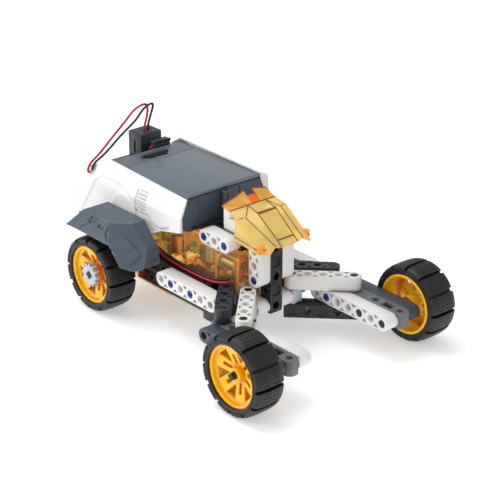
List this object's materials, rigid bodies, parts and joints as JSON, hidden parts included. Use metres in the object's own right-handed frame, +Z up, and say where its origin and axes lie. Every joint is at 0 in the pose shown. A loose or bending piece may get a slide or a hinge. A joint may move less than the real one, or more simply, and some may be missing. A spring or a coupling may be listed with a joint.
{
  "type": "solar robot kit",
  "caption": "Four-wheeled solar rover from a peg-and-hole kit: hinged panel, geared rear axle, front wheels on outriggers, clear canopy.",
  "frame": {"origin": "on the ground, under the middle of the overall length and width", "axes": "+X forward along the rover, +Y to its left, +Z up"},
  "size_m": [0.2533, 0.1674, 0.1205],
  "materials": {
    "slate_gloss": "satin gloss",
    "cell_glass": "gloss",
    "slate": "satin",
    "white": "satin gloss",
    "black": "satin",
    "tyre": "matt",
    "rim_yellow": "gloss, slightly translucent",
    "grey": "satin",
    "light_grey": "satin",
    "blue": "gloss",
    "red": "gloss",
    "wire_red": "satin",
    "wire_black": "satin",
    "orange_clear": "clear, tinted orange",
    "amber_clear": "clear, tinted amber",
    "motor_steel": "brushed",
    "gear_lime": "gloss",
    "gear_red": "gloss",
    "gear_white": "gloss"
  },
  "bodies": {
    "chassis": {"panel_housing": "slate", "plug_box": "slate", "cable_red": "wire_red", "cable_black": "wire_black", "canopy": "amber_clear", "canopy_mount": "white", "motor": "motor_steel", "base_frame": "black", "upper_frame": "black", "tower_pillar": "black", "arm_blocks": "light_grey", "blue_pins": "blue", "cross_pins": "black", "red_pins": "red", "body_shell_left": "white", "fender_left": "slate", "gearbox_case_left": "orange_clear", "side_beam_left": "white", "lower_beam_left": "white", "short_beam_left": "white", "tower_beam_left": "white", "arm_white_left": "white", "arm_slate_left": "slate", "arm_black_left": "black", "wheel_beam_left": "white", "wheel_bracket_left": "grey", "wheel_rail_left": "slate", "body_shell_right": "white", "fender_right": "slate", "gearbox_case_right": "orange_clear", "side_beam_right": "white", "lower_beam_right": "white", "short_beam_right": "white", "tower_beam_right": "white", "arm_white_right": "white", "arm_slate_right": "slate", "arm_black_right": "black", "wheel_beam_right": "white", "wheel_bracket_right": "grey", "wheel_rail_right": "slate"},
    "rear_wheels": {"rear_axle": "black", "axle_gear": "gear_white", "hub_locks": "light_grey", "rim_rear_left": "rim_yellow", "rim_rear_right": "rim_yellow", "tyre_rear_left": "tyre", "tyre_rear_right": "tyre"},
    "slow_shaft": {"gear_slow": "gear_lime"},
    "middle_shaft": {"gear_middle": "gear_red"},
    "fast_shaft": {"gear_fast": "gear_lime"},
    "motor_shaft": {"motor_pinion": "gear_white"},
    "front_wheel_left": {"front_axle_left": "black", "rim_front_left": "rim_yellow", "tyre_front_left": "tyre"},
    "front_wheel_right": {"front_axle_right": "black", "rim_front_right": "rim_yellow", "tyre_front_right": "tyre"},
    "panel": {"solar_lid": "slate_gloss", "solar_cell": "cell_glass"},
    "latch": {"lid_latch": "slate"}
  },
  "joints": [
    {"name": "rear_wheel_spin", "type": "hinge", "parent": "chassis", "child": "rear_wheels", "pos_m": [-0.06665, 0, 0.026], "axis": [0, 1, 0], "continuous": true},
    {"name": "slow_spin", "type": "hinge", "parent": "chassis", "child": "slow_shaft", "pos_m": [-0.05444, 0, 0.04056], "axis": [0, 1, 0], "continuous": true},
    {"name": "middle_spin", "type": "hinge", "parent": "chassis", "child": "middle_shaft", "pos_m": [-0.03722, 0, 0.04859], "axis": [0, 1, 0], "continuous": true},
    {"name": "fast_spin", "type": "hinge", "parent": "chassis", "child": "fast_shaft", "pos_m": [-0.01822, 0, 0.04859], "axis": [0, 1, 0], "continuous": true},
    {"name": "motor_spin", "type": "hinge", "parent": "chassis", "child": "motor_shaft", "pos_m": [0.00078, 0, 0.04859], "axis": [0, 1, 0], "continuous": true},
    {"name": "front_spin_left", "type": "hinge", "parent": "chassis", "child": "front_wheel_left", "pos_m": [0.10065, 0.073, 0.026], "axis": [0, 1, 0], "continuous": true},
    {"name": "front_spin_right", "type": "hinge", "parent": "chassis", "child": "front_wheel_right", "pos_m": [0.10065, -0.073, 0.026], "axis": [0, 1, 0], "continuous": true},
    {"name": "panel_hinge", "type": "hinge", "parent": "chassis", "child": "panel", "pos_m": [-0.0036, 0, 0.09185], "axis": [0, 1, 0], "range_deg": [0, 95]},
    {"name": "latch_slide", "type": "slide", "parent": "panel", "child": "latch", "axis": [1, 0, 0], "range_m": [0, 0.003]}
  ],
  "couplings": [
    {"joint": "slow_spin", "follows": "rear_wheel_spin", "ratio": -2.1667},
    {"joint": "middle_spin", "follows": "rear_wheel_spin", "ratio": 4.6944},
    {"joint": "fast_spin", "follows": "rear_wheel_spin", "ratio": -10.171},
    {"joint": "motor_spin", "follows": "rear_wheel_spin", "ratio": 22.038}
  ]
}
